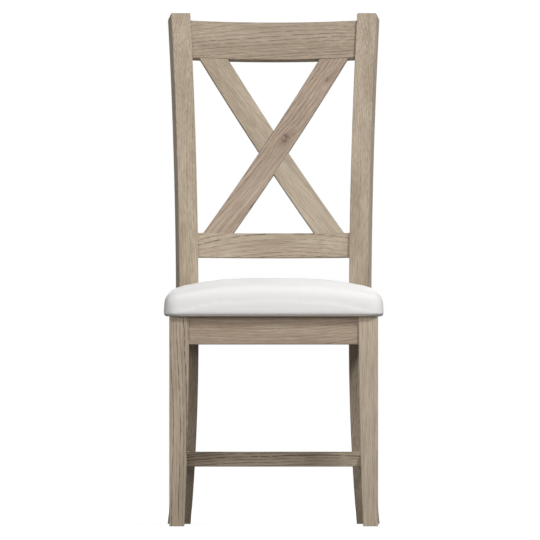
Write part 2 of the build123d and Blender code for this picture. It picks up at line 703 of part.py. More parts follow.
# Dust cover: a thin cloth inside the seat frame, against the turned-under cover.
dust_front = front_inner_y + DUST_COVER_GAP
dust_rear = rear_inner_y - DUST_COVER_GAP
dust_plan = make_face(
    Polyline(
        (inner_side_x(dust_front) + DUST_COVER_GAP, dust_front),
        (-inner_side_x(dust_front) - DUST_COVER_GAP, dust_front),
        (-inner_side_x(dust_rear) - DUST_COVER_GAP, dust_rear),
        (inner_side_x(dust_rear) + DUST_COVER_GAP, dust_rear),
        close=True,
    )
)
dust_level = Plane.XY.offset(SEAT_RAIL_TOP - DUST_COVER_THICKNESS)
dust_cover = extrude(dust_level * dust_plan, DUST_COVER_THICKNESS)
front_cut_size = 2 * (FRONT_LEG_SIZE + DUST_COVER_GAP)
front_cut = Box(front_cut_size, front_cut_size, SEAT_RAIL_HEIGHT)
front_cut = Pos(-FRONT_LEG_SPREAD / 2, 0, SEAT_RAIL_TOP) * front_cut
rear_cut = post_cut(DUST_COVER_GAP)
for cut in (front_cut, rear_cut):
    dust_cover = dust_cover - cut - other_side(cut)


def staple(place, along):
    """A staple under the dust cover, its crown along a line and its legs up into the board."""
    base = SEAT_RAIL_TOP - DUST_COVER_THICKNESS - STAPLE_WIRE
    frame = Plane(origin=place + UP * base, x_dir=along, z_dir=UP)
    half = STAPLE_CROWN / 2
    rise = STAPLE_WIRE + DUST_COVER_THICKNESS + STAPLE_LEG
    bar = frame * Box(STAPLE_CROWN, STAPLE_WIRE, STAPLE_WIRE, align=(Align.CENTER, Align.CENTER, Align.MIN))
    for side in (-1, 1):
        middle = side * (half - STAPLE_WIRE / 2)
        bar = bar + frame * Pos(middle, 0, 0) * Box(
            STAPLE_WIRE, STAPLE_WIRE, rise, align=(Align.CENTER, Align.CENTER, Align.MIN)
        )
    return bar


def staple_row(start, end, count):
    """Staples evenly spaced between two points, clear of the ends."""
    row = []
    run = end - start
    for index in range(count):
        row.append(staple(start + run * ((index + 0.5) / count), run.normalized()))
    return row


row_front = dust_front + STAPLE_INSET - DUST_COVER_GAP
row_rear = dust_rear - STAPLE_INSET + DUST_COVER_GAP
row_front_x = front_leg_corner.X + STAPLE_INSET
row_rear_x = leg_inner.X + STAPLE_INSET
side_low = front_leg_corner.Y + STAPLE_INSET
side_high = leg_inner.Y - STAPLE_INSET
side_row = staple_row(
    Vector(inner_side_x(side_low) + STAPLE_INSET, side_low, 0),
    Vector(inner_side_x(side_high) + STAPLE_INSET, side_high, 0),
    SIDE_STAPLE_COUNT,
)
front_end = Vector(row_front_x, row_front, 0)
rear_end = Vector(row_rear_x, row_rear, 0)
staples = staple_row(front_end, Vector(-row_front_x, row_front, 0), FRONT_STAPLE_COUNT)
staples += staple_row(rear_end, Vector(-row_rear_x, row_rear, 0), REAR_STAPLE_COUNT)
staples += side_row + [other_side(item) for item in side_row]

# Everything that is driven up into the pad has its hole there.
screw_holes = []
for item in seat_screws:
    axis = item.center()
    bore = Pos(axis.X, axis.Y, SEAT_RAIL_TOP) * round_section(SCREW_DIAMETER + 2 * SCREW_HOLE_GAP)
    hole = extrude(bore, 2 * DUST_COVER_THICKNESS, both=True)
    screw_holes.append(hole)
dust_cover = dust_cover - staples - screw_holes
seat_cover = seat_cover - staples - screw_holes
seat_board = seat_board - staples - seat_screws

chair = {
    "left_rear_leg": left_rear_leg,
    "right_rear_leg": other_side(left_rear_leg),
    "left_front_leg": left_front_leg,
    "right_front_leg": other_side(left_front_leg),
    "front_seat_rail": front_seat_rail,
    "rear_seat_rail": rear_seat_rail,
    "left_seat_rail": left_seat_rail,
    "right_seat_rail": other_side(left_seat_rail),
    "left_side_stretcher": left_side_stretcher,
    "right_side_stretcher": other_side(left_side_stretcher),
    "cross_stretcher": cross_stretcher,
    "crest_rail": crest_rail,
    "lower_back_rail": lower_rail,
    "rising_brace": rising_brace,
    "falling_brace": falling_brace,
    "crest_rail_dowels": crest_pins,
    "lower_rail_dowels": lower_pins,
    "brace_dowels": brace_pins,
    "front_left_corner_block": front_block,
    "front_right_corner_block": other_side(front_block),
    "rear_left_corner_block": rear_block,
    "rear_right_corner_block": other_side(rear_block),
    "corner_block_screws": block_screws,
    "seat_screws": seat_screws,
    "seat_board": seat_board,
    "seat_foam": seat_foam,
    "seat_cover": seat_cover,
    "cover_staples": staples,
    "dust_cover": dust_cover,
}

# The origin goes to the floor under the middle of the whole chair.
foot_back = pad_front
for name in ("left_rear_leg", "seat_cover"):
    box = chair[name].bounding_box()
    foot_back = max(foot_back, box.max.Y)
middle_y = (pad_front + foot_back) / 2
to_origin = Pos(0, -middle_y, 0)

os.makedirs("parts", exist_ok=True)
for name, shape in chair.items():
    pieces = shape if isinstance(shape, list) else [shape]
    solids = [to_origin * solid for piece in pieces for solid in piece.solids()]
    whole = Compound(children=solids) if len(solids) > 1 else solids[0]
    export_step(whole, f"parts/{name}.step")
    box = whole.bounding_box()
    sizes = f"{box.size.X:.1f} {box.size.Y:.1f} {box.size.Z:.1f}"
    print(f"{name}: {len(solids)} solids, {whole.volume / 1000:.1f} cm3, size {sizes}")
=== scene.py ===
import bmesh
import bpy
import numpy as np
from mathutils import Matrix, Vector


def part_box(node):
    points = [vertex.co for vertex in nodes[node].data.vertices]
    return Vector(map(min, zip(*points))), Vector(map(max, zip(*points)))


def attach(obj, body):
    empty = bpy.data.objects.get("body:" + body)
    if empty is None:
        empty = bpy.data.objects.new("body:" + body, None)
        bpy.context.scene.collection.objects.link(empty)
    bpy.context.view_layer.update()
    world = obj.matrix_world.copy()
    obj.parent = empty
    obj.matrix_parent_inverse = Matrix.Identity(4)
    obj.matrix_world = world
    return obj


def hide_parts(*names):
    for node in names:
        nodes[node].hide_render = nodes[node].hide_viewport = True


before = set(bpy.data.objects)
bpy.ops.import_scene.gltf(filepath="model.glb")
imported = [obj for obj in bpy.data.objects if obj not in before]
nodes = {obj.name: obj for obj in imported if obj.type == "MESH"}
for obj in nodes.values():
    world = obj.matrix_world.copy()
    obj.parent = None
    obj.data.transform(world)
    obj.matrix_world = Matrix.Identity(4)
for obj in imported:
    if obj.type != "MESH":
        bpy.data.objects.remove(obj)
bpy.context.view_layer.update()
bpy.context.scene.view_settings.view_transform = "Standard"


# Rear legs. Each is one sabre-curved post of solid oak from the floor to the top of the back,
# sawn from a straight board, so the grain runs upright while the outline sweeps away from it.
# The wood is grey-washed and left matt, with its open pores showing as short dark dashes.
class Finish:
    """A material built up from sums: most methods add one node and hand on its output."""

    def __init__(self, name, roughness):
        self.material = bpy.data.materials.new(name)
        self.material.use_nodes = True
        self.tree = self.material.node_tree
        self.shader = self.tree.nodes["Principled BSDF"]
        self.shader.inputs["Roughness"].default_value = roughness
        self.place = self.tree.nodes.new("ShaderNodeTexCoord")

    def feed(self, socket, value):
        """Give a socket a fixed value, or link it to another node's output."""
        if isinstance(value, bpy.types.NodeSocket):
            self.tree.links.new(value, socket)
        else:
            socket.default_value = value

    def calc(self, operation, first, second=0.0):
        node = self.tree.nodes.new("ShaderNodeMath")
        node.operation = operation
        self.feed(node.inputs[0], first)
        self.feed(node.inputs[1], second)
        return node.outputs[0]

    def plus(self, first, second):
        return self.calc("ADD", first, second)

    def less(self, first, second):
        return self.calc("SUBTRACT", first, second)

    def times(self, first, second):
        return self.calc("MULTIPLY", first, second)

    def measure(self, vector, direction):
        """Length of a vector along a direction."""
        node = self.tree.nodes.new("ShaderNodeVectorMath")
        node.operation = "DOT_PRODUCT"
        self.feed(node.inputs[0], vector)
        node.inputs[1].default_value = direction
        return node.outputs["Value"]

    def along(self, direction, point):
        """Distance of a point of the piece from a fixed one, measured along a direction."""
        step = self.tree.nodes.new("ShaderNodeVectorMath")
        step.operation = "SUBTRACT"
        self.feed(step.inputs[0], self.place.outputs["Object"])
        step.inputs[1].default_value = point
        return self.measure(step.outputs[0], direction)

    def point(self, x, y, z):
        node = self.tree.nodes.new("ShaderNodeCombineXYZ")
        for socket, value in zip(node.inputs, (x, y, z)):
            self.feed(socket, value)
        return node.outputs[0]

    def noise(self, vector, scale, detail=2.0):
        node = self.tree.nodes.new("ShaderNodeTexNoise")
        self.feed(node.inputs["Vector"], vector)
        node.inputs["Scale"].default_value = scale
        node.inputs["Detail"].default_value = detail
        return node.outputs[0]

    def ease(self, value, low, high, first=0.0, last=1.0):
        """A smooth step from the first to the last value between two marks."""
        node = self.tree.nodes.new("ShaderNodeMapRange")
        node.interpolation_type = "SMOOTHSTEP"
        self.feed(node.inputs["Value"], value)
        node.inputs["From Min"].default_value = low
        node.inputs["From Max"].default_value = high
        node.inputs["To Min"].default_value = first
        node.inputs["To Max"].default_value = last
        return node.outputs[0]

    def blend(self, share, first, second):
        """The first colour with a share of the second in it."""
        node = self.tree.nodes.new("ShaderNodeMix")
        node.data_type = "RGBA"
        self.feed(node.inputs[0], share)
        for socket, value in ((node.inputs[6], first), (node.inputs[7], second)):
            self.feed(socket, value if isinstance(value, bpy.types.NodeSocket) else (*value, 1.0))
        return node.outputs[2]

    def colour(self, value):
        self.feed(self.shader.inputs["Base Color"], value)

    def bump(self, height, depth, strength):
        node = self.tree.nodes.new("ShaderNodeBump")
        node.inputs["Strength"].default_value = strength
        node.inputs["Distance"].default_value = depth
        self.feed(node.inputs["Height"], height)
        self.feed(self.shader.inputs["Normal"], node.outputs[0])

    def dress(self, piece, slot):
        piece.data.materials.clear()
        piece.data.materials.append(self.material)


OAK = "washed_oak"
OAK_ROUGHNESS = 0.62
OAK_SHINE = 0.16
BRIGHT_OAK = (0.492, 0.410, 0.313)
PALE_OAK = (0.462, 0.382, 0.290)
DULL_OAK = (0.392, 0.318, 0.238)
WASH_OAK = (0.545, 0.468, 0.372)
STREAK_OAK = (0.250, 0.190, 0.137)
PORE_OAK = (0.125, 0.090, 0.063)
KNOT_OAK = (0.262, 0.180, 0.142)

# Patterns of the grain: spots to the metre across it and along it, a place in the noise, and detail.
DRIFT = (8.0, 3.2, 0.0, 1.0)
RIPPLE = (45.0, 16.0, 3.7, 1.0)
KNOT_EDGE = (230.0, 150.0, 4.4, 2.0)
PORE_DASH = (520.0, 62.0, 9.1, 2.0)
LOOSE_PORE = (700.0, 40.0, 6.2, 2.0)
FIBRE = (450.0, 22.0, 2.3, 2.0)
STREAK = (120.0, 4.0, 5.3, 3.0)
CLOUD = (20.0, 3.6, 1.9, 2.0)
PLACE_STEPS = (7.3, 3.1, 5.7)

# How far the ring lines wander, how they bunch, and how strongly each mark darkens the wood.
DRIFT_REACH = 0.022
RIPPLE_REACH = 0.0035
RING_BUNCHES = 0.45
RING_SHIFT = 0.9
WEAKEST_RING = 0.3
FIBRE_SHADE = 0.42
LINE_SHADE = 0.30
LOOSE_SHADE = 0.22
PORE_SHADE = 0.90
HALO_SHADE = 0.60
KNOT_SHADE = 0.75
END_GRAIN_SHADE = 0.55
FINE_RELIEF = 0.3
PORE_DEPTH = 0.0004
PORE_RELIEF = 0.5


def unit(vector):
    """The same direction at a length of one."""
    return np.array(vector, float) / np.linalg.norm(vector)


def middle_of(name):
    """Middle of a piece's box."""
    low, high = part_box(name)
    return tuple((np.array(low) + np.array(high)) / 2)


def drawn_out(wood, spots, pattern, seed):
    """Noise drawn out along the grain: each measure times the pattern's spots to the metre.

    The seed and the pattern's own place move it to a part of the noise that no other mark uses."""
    across, along, place, detail = pattern
    parts = []
    for value, scale, step in zip(spots, (across, across, along), PLACE_STEPS):
        node = wood.tree.nodes.new("ShaderNodeMath")
        node.operation = "MULTIPLY_ADD"
        wood.feed(node.inputs[0], value)
        node.inputs[1].default_value = scale
        node.inputs[2].default_value = (seed + place) * step
        parts.append(node.outputs[0])
    return wood.noise(wood.point(*parts), 1.0, detail)


def knot_marks(wood, knots, spots, wander, seed):
    """Wander of the ring lines with the knots' push in it, the knots' brown halos and dark hearts.

    All three fade with the distance from a knot's middle, measured at half its length along the
    grain. Noise tears the edge of the dark heart."""
    across, _, along = spots
    halo = 0.0
    dark = 0.0
    torn = wood.less(drawn_out(wood, spots, KNOT_EDGE, seed), 0.5)
    for knot_across, knot_along, size in knots:
        off = wood.less(across, knot_across)
        far = wood.times(wood.less(along, knot_along), 0.5)
        away = wood.calc("SQRT", wood.plus(wood.times(off, off), wood.times(far, far)))
        wander = wood.plus(wander, wood.ease(away, 0.0, 4.0 * size, 1.6 * size, 0.0))
        halo = wood.calc("MAXIMUM", halo, wood.ease(away, 0.6 * size, 2.4 * size, 1.0, 0.0))
        edge = wood.plus(away, wood.times(torn, 3.2 * size))
        dark = wood.calc("MAXIMUM", dark, wood.ease(edge, 0.1 * size, 0.9 * size, 1.0, 0.0))
    return wander, halo, dark


def year_lines(wood, turns, seed):
    """Dark lines where each year's ring starts: a steep rise and a slow fall over the ring's width.

    Noise along the turns bunches the rings, and each ring has a strength of its own."""
    bunch = wood.noise(wood.point(wood.times(turns, RING_BUNCHES), seed, 0.0), 1.0, 1.0)
    turns = wood.plus(turns, wood.times(bunch, RING_SHIFT))
    year = wood.calc("FRACT", turns)
    strength = wood.tree.nodes.new("ShaderNodeTexWhiteNoise")
    strength.noise_dimensions = "1D"
    wood.feed(strength.inputs["W"], wood.plus(wood.calc("FLOOR", turns), seed))
    line = wood.times(wood.ease(year, 0.0, 0.08), wood.ease(year, 0.10, 0.36, 1.0, 0.0))
    return wood.times(line, wood.ease(strength.outputs["Value"], 0.0, 1.0, WEAKEST_RING, 1.0))


def washed_oak(
    name,
    grain,
    face,
    seed,
    heart,
    ring,
    figure,
    pale=PALE_OAK,
    dull=DULL_OAK,
    streaks=0.35,
    lines=0.8,
    knots=(),
    fade=0.0,
):
    """Grey-washed oak for one piece, sawn from a log whose heart line lies beside it.

    Ring lines are steps of the distance from the heart line, one ring wide. The figure says how that
    line runs off: its lean to the face, its lean across the face, and its sweep, which grows with the
    square of the distance along the grain. Pores are noise drawn out along the grain, on the ring
    lines. A fade makes the wood duller along the grain. End grain is darker."""
    grain = unit(grain)
    across = unit(np.cross(grain, unit(face)))
    deep = np.cross(across, grain)
    wood = Finish(name + "_oak", OAK_ROUGHNESS)
    wood.shader.inputs["Specular IOR Level"].default_value = OAK_SHINE
    middle = middle_of(name)
    spots = [wood.along(direction, middle) for direction in (across, deep, grain)]
    a, b, c = spots
    lean, slope, sweep = figure
    drift = wood.less(drawn_out(wood, spots, DRIFT, seed), 0.5)
    ripple = wood.less(drawn_out(wood, spots, RIPPLE, seed), 0.5)
    wander = wood.plus(wood.times(drift, DRIFT_REACH), wood.times(ripple, RIPPLE_REACH))
    wander = wood.plus(wander, wood.times(c, slope))
    wander = wood.plus(wander, wood.times(wood.times(c, c), sweep))
    if knots:
        wander, halo, dark = knot_marks(wood, knots, spots, wander, seed)
    from_a = wood.plus(wood.less(a, heart[0]), wander)
    from_b = wood.plus(wood.less(b, heart[1]), wood.times(c, lean))
    squares = wood.plus(wood.times(from_a, from_a), wood.times(from_b, from_b))
    line = year_lines(wood, wood.calc("DIVIDE", wood.calc("SQRT", squares), ring), seed)

    dash = wood.ease(drawn_out(wood, spots, PORE_DASH, seed), 0.36, 0.58)
    pores = wood.times(line, wood.times(dash, lines))
    loose = wood.ease(drawn_out(wood, spots, LOOSE_PORE, seed), 0.56, 0.72)
    fibre = drawn_out(wood, spots, FIBRE, seed)
    streak = wood.ease(drawn_out(wood, spots, STREAK, seed), 0.46, 0.76)
    cloud = wood.plus(drawn_out(wood, spots, CLOUD, seed), wood.times(c, fade))
    cloud = wood.ease(cloud, 0.3, 0.7)

    tone = wood.blend(cloud, pale, dull)
    tone = wood.blend(wood.ease(fibre, 0.42, 0.72, 0.0, FIBRE_SHADE), tone, STREAK_OAK)
    tone = wood.blend(wood.ease(fibre, 0.25, 0.46, FIBRE_SHADE, 0.0), tone, WASH_OAK)
    tone = wood.blend(wood.times(streak, streaks), tone, STREAK_OAK)
    tone = wood.blend(wood.times(line, LINE_SHADE), tone, STREAK_OAK)
    tone = wood.blend(wood.times(loose, LOOSE_SHADE), tone, PORE_OAK)
    tone = wood.blend(wood.times(pores, PORE_SHADE), tone, PORE_OAK)
    if knots:
        tone = wood.blend(wood.times(halo, HALO_SHADE), tone, KNOT_OAK)
        tone = wood.blend(wood.times(dark, KNOT_SHADE), tone, PORE_OAK)
    facing_end = wood.calc("ABSOLUTE", wood.measure(wood.place.outputs["Normal"], grain))
    sawn = wood.ease(facing_end, 0.75, 0.97, 0.0, END_GRAIN_SHADE)
    wood.colour(wood.blend(sawn, tone, STREAK_OAK))

    relief = wood.plus(pores, wood.times(loose, FINE_RELIEF))
    relief = wood.plus(relief, wood.times(fibre, FINE_RELIEF))
    wood.bump(wood.times(relief, -1.0), PORE_DEPTH, PORE_RELIEF)
    wood.feed(wood.shader.inputs["Roughness"], wood.ease(cloud, 0.0, 1.0, 0.58, 0.70))
    wood.dress(nodes[name], OAK)


UPRIGHT = (0.0, 0.0, 1.0)
FRONT = (0.0, -1.0, 0.0)
washed_oak(
    "left_rear_leg",
    UPRIGHT,
    FRONT,
    seed=1.0,
    heart=(0.10, 0.05),
    ring=0.0052,
    figure=(0.04, 0.05, -0.10),
    lines=0.6,
)
washed_oak(
    "right_rear_leg",
    UPRIGHT,
    FRONT,
    seed=2.0,
    heart=(-0.12, 0.06),
    ring=0.0048,
    figure=(0.03, -0.02, 0.05),
    pale=BRIGHT_OAK,
    lines=0.6,
)


# Front legs. Square oak legs, straight on the outside and hollowed to the foot on the two inner
# faces, with a mortise for each rail. Upright grain and the same grey wash, a little brighter:
# the left one has long pore lines, the right one hardly any.
FRONT_LEG_OAK = (0.528, 0.437, 0.333)
washed_oak(
    "left_front_leg",
    UPRIGHT,
    FRONT,
    seed=3.0,
    heart=(0.09, 0.05),
    ring=0.0070,
    figure=(0.01, 0.004, 0.02),
    pale=FRONT_LEG_OAK,
    lines=1.3,
)
washed_oak(
    "right_front_leg",
    UPRIGHT,
    FRONT,
    seed=4.0,
    heart=(-0.11, 0.05),
    ring=0.0050,
    figure=(0.02, -0.02, -0.1),
    pale=FRONT_LEG_OAK,
    dull=BRIGHT_OAK,
    streaks=0.2,
    lines=0.35,
)


# Seat rails. Four oak aprons tenoned into the legs, grain along their length, a little browner
# than the legs because the wash was wiped thin there.
SIDEWAYS = (1.0, 0.0, 0.0)
BACKWARDS = (0.0, 1.0, 0.0)
APRON_PALE = (0.430, 0.337, 0.251)
APRON_DULL = (0.353, 0.269, 0.194)
for name, grain, face, seed in (
    ("front_seat_rail", SIDEWAYS, FRONT, 5.0),
    ("rear_seat_rail", SIDEWAYS, FRONT, 6.0),
    ("left_seat_rail", BACKWARDS, SIDEWAYS, 7.0),
    ("right_seat_rail", BACKWARDS, SIDEWAYS, 8.0),
):
    washed_oak(
        name,
        grain,
        face,
        seed,
        heart=(0.10, 0.05),
        ring=0.0056,
        figure=(0.03, 0.02, 0.3),
        pale=APRON_PALE,
        dull=APRON_DULL,
    )


# Stretchers. One low oak rail on each side from front to rear leg and one across between these,
# all tenoned, with long open pore lines, washed like the rest. Their oak is painted darker than
# the other pieces': painted shade, standing in for the shade that falls under the seat.
# Painted shade: these two colours are darker than the other oak to stand in for the shade under the
# seat.
LOW_PALE_WITH_PAINTED_SHADE = (0.415, 0.346, 0.258)
LOW_DULL_WITH_PAINTED_SHADE = (0.322, 0.263, 0.191)
for name, grain, face, seed in (
    ("left_side_stretcher", BACKWARDS, SIDEWAYS, 9.0),
    ("right_side_stretcher", BACKWARDS, SIDEWAYS, 10.0),
    ("cross_stretcher", SIDEWAYS, FRONT, 11.0),
):
    washed_oak(
        name,
        grain,
        face,
        seed,
        heart=(0.09, 0.05),
        ring=0.0056,
        figure=(0.03, 0.02, -0.2),
        pale=LOW_PALE_WITH_PAINTED_SHADE,
        dull=LOW_DULL_WITH_PAINTED_SHADE,
        streaks=0.4,
        lines=2.6,
    )


# Crest rail. A bowed oak board between the tops of the rear legs, held by two dowels at each end.
# Its ring lines run the whole length and rise a little to the right, as rows of short pore dashes.
CREST_PALE = (0.412, 0.339, 0.255)
CREST_DULL = (0.342, 0.275, 0.204)
washed_oak(
    "crest_rail",
    SIDEWAYS,
    FRONT,
    seed=12.0,
    heart=(-0.11, 0.05),
    ring=0.0062,
    figure=(0.05, 0.055, 0.0),
    pale=CREST_PALE,
    dull=CREST_DULL,
    lines=1.2,
)


# Lower back rail. The bowed oak board that carries the feet of the cross, doweled like the crest.
# Its ring lines stand wide apart and run the whole length in a low arch.
washed_oak(
    "lower_back_rail",
    SIDEWAYS,
    FRONT,
    seed=17.0,
    heart=(-0.075, 0.04),
    ring=0.0080,
    figure=(0.05, 0.06, -0.4),
    pale=BRIGHT_OAK,
    streaks=0.25,
    lines=1.1,
)


# Cross of the back. Two bowed oak braces halved into each other and doweled to the rails. The one
# that rises to the right is pinkish brown with long streaks and two knots. The other is straight
# in the grain and grows paler towards its foot.
def brace_grain(name, side):
    """Direction of a brace: the diagonal of its box from foot to head."""
    low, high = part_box(name)
    size = np.array(high) - np.array(low)
    return (side * size[0], size[1], size[2])


# Knots of the rising brace: place across it and along it from its middle, and size.
RISING_KNOTS = ((0.005, 0.023, 0.0070), (-0.004, 0.174, 0.0034))
RISING_PALE = (0.432, 0.336, 0.262)
RISING_DULL = (0.350, 0.262, 0.200)
washed_oak(
    "rising_brace",
    brace_grain("rising_brace", 1),
    FRONT,
    seed=14.0,
    heart=(0.10, 0.05),
    ring=0.0075,
    figure=(0.03, 0.02, 0.1),
    pale=RISING_PALE,
    dull=RISING_DULL,
    streaks=0.6,
    lines=1.0,
    knots=RISING_KNOTS,
    fade=0.6,
)
FALLING_PALE = (0.492, 0.418, 0.318)
FALLING_DULL = (0.390, 0.324, 0.240)
washed_oak(
    "falling_brace",
    brace_grain("falling_brace", -1),
    FRONT,
    seed=15.0,
    heart=(-0.12, 0.05),
    ring=0.0050,
    figure=(0.02, 0.02, -0.1),
    pale=FALLING_PALE,
    dull=FALLING_DULL,
    streaks=0.3,
    lines=0.5,
    fade=1.0,
)


# Dowels. Plain beech pins with bevelled ends, glued in pairs across the joints of the back. They
# are out of sight once the joints are closed.
BEECH = "plain_beech"
BEECH_ROUGHNESS = 0.66
BEECH_PALE = (0.62, 0.46, 0.29)
BEECH_DULL = (0.52, 0.37, 0.22)
BEECH_FLECK = (0.36, 0.23, 0.12)
FLECK_SPOTS = (900.0, 190.0, 0.0, 1.0)
BEECH_CLOUD = (60.0, 9.0, 0.0, 2.0)
FLECK_SHADE = 0.55
FLECK_DEPTH = 0.0002
FLECK_RELIEF = 0.4
OFF_GRAIN = (0.31, 0.42, 0.85)


def plain_beech(name, grain, middle):
    """Unfinished beech: even tone, broken by short brown flecks drawn out along the grain."""
    wood = Finish(name, BEECH_ROUGHNESS)
    grain = unit(grain)
    side = unit(np.cross(grain, OFF_GRAIN))
    deep = np.cross(grain, side)
    spots = [wood.along(direction, middle) for direction in (side, deep, grain)]
    fleck = wood.ease(drawn_out(wood, spots, FLECK_SPOTS, 0.0), 0.58, 0.66)
    cloud = wood.ease(drawn_out(wood, spots, BEECH_CLOUD, 0.0), 0.3, 0.7)
    tone = wood.blend(cloud, BEECH_PALE, BEECH_DULL)
    wood.colour(wood.blend(wood.times(fleck, FLECK_SHADE), tone, BEECH_FLECK))
    wood.bump(wood.times(fleck, -1.0), FLECK_DEPTH, FLECK_RELIEF)
    return wood


CENTRE = (0.0, 0.0, 0.0)
rail_pin_beech = plain_beech("rail_dowel_beech", SIDEWAYS, CENTRE)
brace_pin_beech = plain_beech("brace_dowel_beech", UPRIGHT, CENTRE)
rail_pin_beech.dress(nodes["crest_rail_dowels"], BEECH)
rail_pin_beech.dress(nodes["lower_rail_dowels"], BEECH)
brace_pin_beech.dress(nodes["brace_dowels"], BEECH)


# Corner blocks. Beech blocks glued and screwed across the inner corners of the seat frame, with
# the grain across the corner.
for name, grain in (
    ("front_left_corner_block", (1.0, -1.0, 0.0)),
    ("front_right_corner_block", (1.0, 1.0, 0.0)),
    ("rear_left_corner_block", (1.0, 1.0, 0.0)),
    ("rear_right_corner_block", (1.0, -1.0, 0.0)),
):
    plain_beech(name + "_beech", grain, middle_of(name)).dress(nodes[name], BEECH)


# Screws and staples. Zinc-plated steel: the screws hold the blocks and the pad, the staples the
# turned-under cover and the dust cover.
ZINC_PALE = (0.66, 0.67, 0.68)
ZINC_DULL = (0.52, 0.52, 0.50)
ZINC_SPECKLE = 420.0
zinc = Finish("zinc_plate", 0.36)
zinc.shader.inputs["Metallic"].default_value = 1.0
speckle = zinc.noise(zinc.place.outputs["Object"], ZINC_SPECKLE, 3.0)
zinc.colour(zinc.blend(zinc.ease(speckle, 0.3, 0.7), ZINC_PALE, ZINC_DULL))
zinc.feed(zinc.shader.inputs["Roughness"], zinc.ease(speckle, 0.2, 0.8, 0.28, 0.46))
for name in ("corner_block_screws", "seat_screws", "cover_staples"):
    zinc.dress(nodes[name], "zinc_steel")


# Seat board. Birch plywood under the pad, held by a screw through each corner block. Its plies
# show as thin layers on the edge.
PLIES_TO_THE_METRE = 690.0
PLY_FIGURE = 9.0
PLY_DRAWN_OUT = 12.0
GLUE_LINE_SHADE = 0.35
BIRCH_PALE = (0.66, 0.52, 0.35)
BIRCH_DULL = (0.56, 0.42, 0.26)
GLUE_LINE = (0.42, 0.29, 0.17)
board = Finish("seat_plywood", 0.62)
height = board.along(UPRIGHT, middle_of("seat_board"))
layer = board.calc("FRACT", board.times(height, PLIES_TO_THE_METRE))
ply = board.ease(board.calc("ABSOLUTE", board.less(layer, 0.5)), 0.2, 0.3)
depth = board.times(board.along(BACKWARDS, CENTRE), PLY_DRAWN_OUT)
birch_figure = board.noise(board.point(board.along(SIDEWAYS, CENTRE), depth, 0.0), PLY_FIGURE, 4.0)
birch = board.blend(board.ease(birch_figure, 0.35, 0.65), BIRCH_PALE, BIRCH_DULL)
board.colour(board.blend(board.times(ply, GLUE_LINE_SHADE), birch, GLUE_LINE))
board.dress(nodes["seat_board"], "plywood")


# Seat cover. Smooth off-white cotton drawn tight over the foam, round the board's edge and up
# against the rear legs. Made as an upholsterer does: the pad's core is wrapped in cloth, the cloth
# is blown tight over it and held flat underneath, where it lies on the rails.
WELD = 0.00002
PAD_VOXEL = 0.005
PAD_FRAMES = 20
PAD_PRESSURE = 4.0
PAD_CLOTH_MASS = 0.3
PAD_CLOTH_STEPS = 6
PAD_SOFT_ROUNDS = 10
PAD_SOFT_FROM = 0.012
PAD_SOFT_TO = 0.030
PAD_SWELL = 0.0008
PAD_GIVE = 0.0003
PAD_CREEP = 0.0012
PAD_FLAT = 0.010
PAD_REFILL = 0.0016
PAD_FULLNESS = 0.0024
PAD_SETTLE = 0.0010
PAD_WAVE = 0.24
PAD_TUCK = 0.009
PAD_TUCK_TILT = 2.4
PAD_FIT_BAND = 0.004
COVER_CLEARANCE = 0.0010
HELD_STEPS = 10


def mesh_of(obj):
    """The finished mesh of an object with its modifiers worked in, as a new mesh."""
    graph = bpy.context.evaluated_depsgraph_get()
    return bpy.data.meshes.new_from_object(obj.evaluated_get(graph))


def points_of(mesh):
    """Places of a mesh's points, one to a row."""
    flat = np.empty(len(mesh.vertices) * 3)
    mesh.vertices.foreach_get("co", flat)
    return flat.reshape(-1, 3)


def normals_of(mesh):
    """Directions in which a mesh's points face, one to a row."""
    flat = np.empty(len(mesh.vertices) * 3)
    mesh.vertices.foreach_get("normal", flat)
    return flat.reshape(-1, 3)


def set_points(mesh, points):
    """Move a mesh's points to new places."""
    mesh.vertices.foreach_set("co", np.ascontiguousarray(points, dtype=np.float64).ravel())
    mesh.update()


def placed(name, mesh):
    """An object of its own for a mesh, in the scene."""
    obj = bpy.data.objects.new(name, mesh)
    bpy.context.collection.objects.link(obj)
    return obj


def taken_off(obj):
    """The finished mesh of a helper object, which is then removed."""
    bpy.context.view_layer.update()
    result = mesh_of(obj)
    bpy.data.objects.remove(obj)
    return result


def group_between(obj, name, none_at, all_at):
    """A group of an object's points that grows evenly from none at one height to all at another."""
    group = obj.vertex_groups.new(name=name)
    share = np.clip((points_of(obj.data)[:, 2] - none_at) / (all_at - none_at), 0.0, 1.0)
    for step in range(1, HELD_STEPS + 1):
        held = np.flatnonzero(np.round(share * HELD_STEPS) == step)
        group.add(held.tolist(), step / HELD_STEPS, "REPLACE")
    return name


def remade(mesh, voxel):
    """A closed mesh drawn again in even squares of one size."""
    obj = placed("pad_work", mesh)
    squares = obj.modifiers.new("squares", "REMESH")
    squares.mode = "VOXEL"
    squares.voxel_size = voxel
    return taken_off(obj)


def softened(mesh, low, high, rounds):
    """The same mesh smoothed some rounds, not at all below one height and fully above another."""
    obj = placed("pad_soften", mesh)
    soften = obj.modifiers.new("soften", "SMOOTH")
    soften.factor = 0.5
    soften.iterations = rounds
    soften.vertex_group = group_between(obj, "free", low, high)
    return taken_off(obj)


